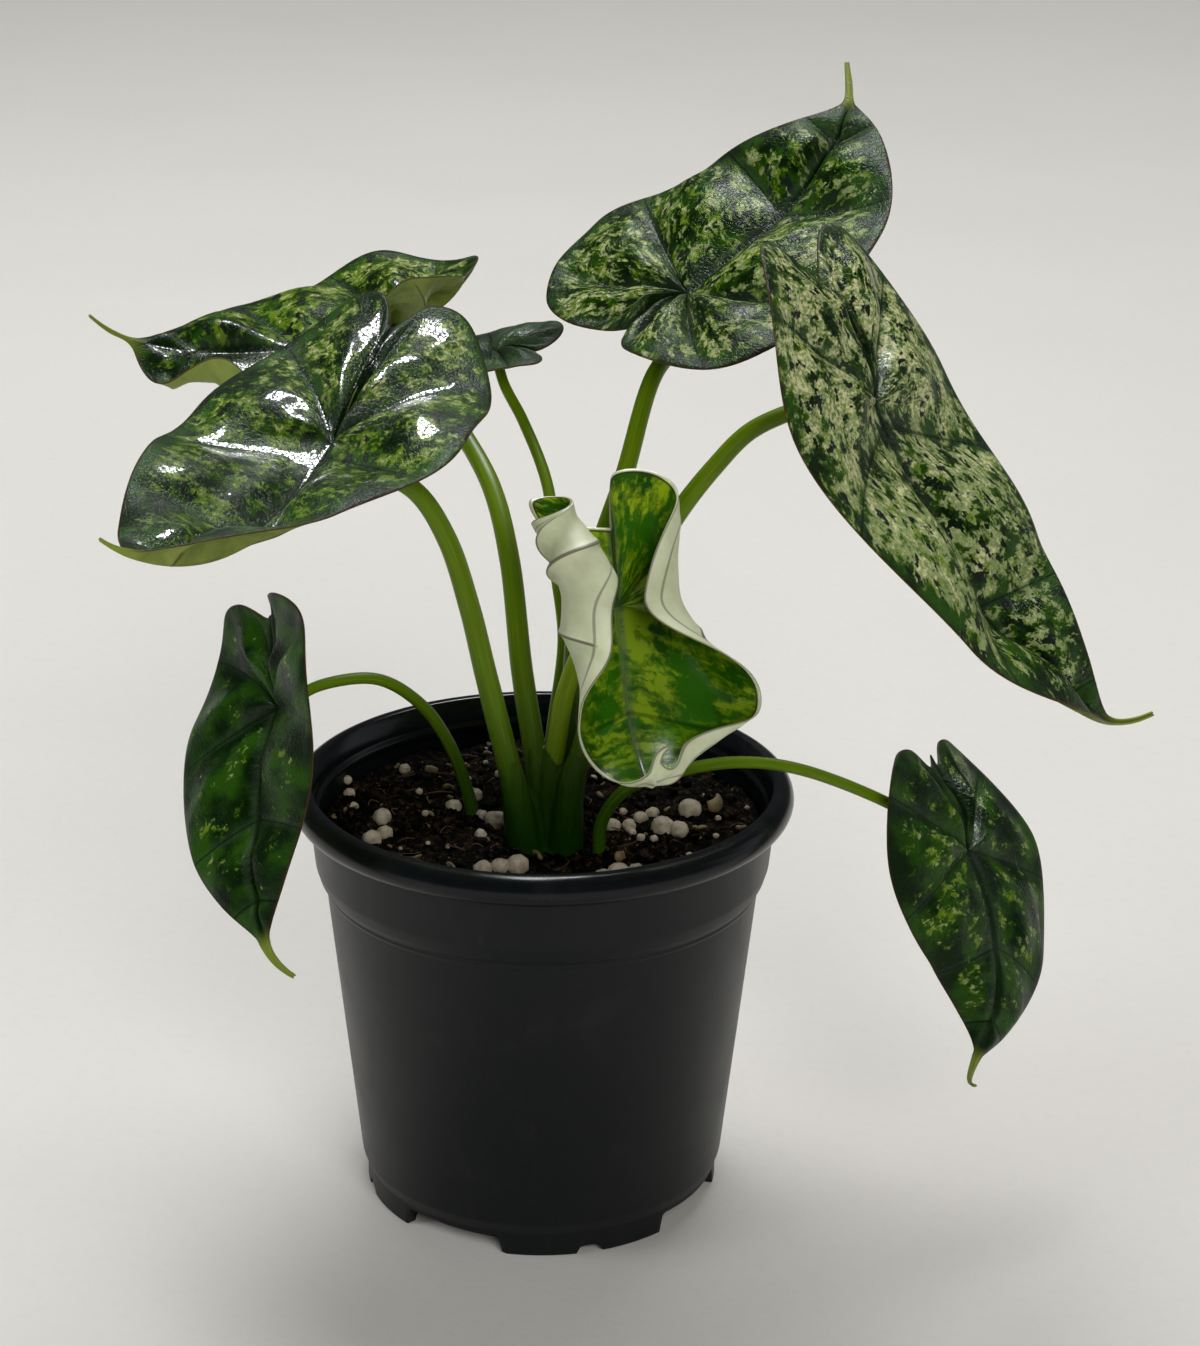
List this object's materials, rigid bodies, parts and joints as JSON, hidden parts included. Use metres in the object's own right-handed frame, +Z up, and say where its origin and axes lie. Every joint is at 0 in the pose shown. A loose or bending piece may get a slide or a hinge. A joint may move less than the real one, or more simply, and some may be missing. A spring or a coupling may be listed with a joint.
{
  "type": "potted dragon scale alocasia",
  "caption": "Young dragon scale alocasia in a black nursery pot, with stiff, quilted arrow-shaped leaves on upright stems and one leaf still unrolling",
  "frame": {"origin": "middle of the whole plant's footprint, on the surface that the pot stands on", "axes": "+Z up along the pot's axis, which is the longest extent, -Y towards the side with the unrolling leaf, +X to that side's right"},
  "size_m": [0.2578, 0.2254, 0.2655],
  "materials": {
    "pot": "satin black moulded plastic",
    "soil": "damp dark bark and peat mix with pale perlite beads",
    "crown": "fleshy olive green stem bases",
    "stem": "smooth olive green leaf stalk",
    "young_stem": "smooth light green leaf stalk",
    "blade": "glossy dark green leaf with yellow-green mottling and pale veins",
    "young_blade": "bright green young leaf with a pale underside"
  },
  "bodies": {
    "root": {"pot": "pot", "soil": "soil", "crown": "crown", "stem_top": "stem", "blade_top": "blade", "stem_right": "stem", "blade_right": "blade", "stem_front": "stem", "blade_front": "blade", "stem_left": "stem", "blade_left": "blade", "stem_back": "stem", "blade_back": "blade", "stem_young": "young_stem", "blade_young": "young_blade", "stem_low_left": "stem", "blade_low_left": "blade", "stem_low_right": "stem", "blade_low_right": "blade"}
  },
  "joints": []
}
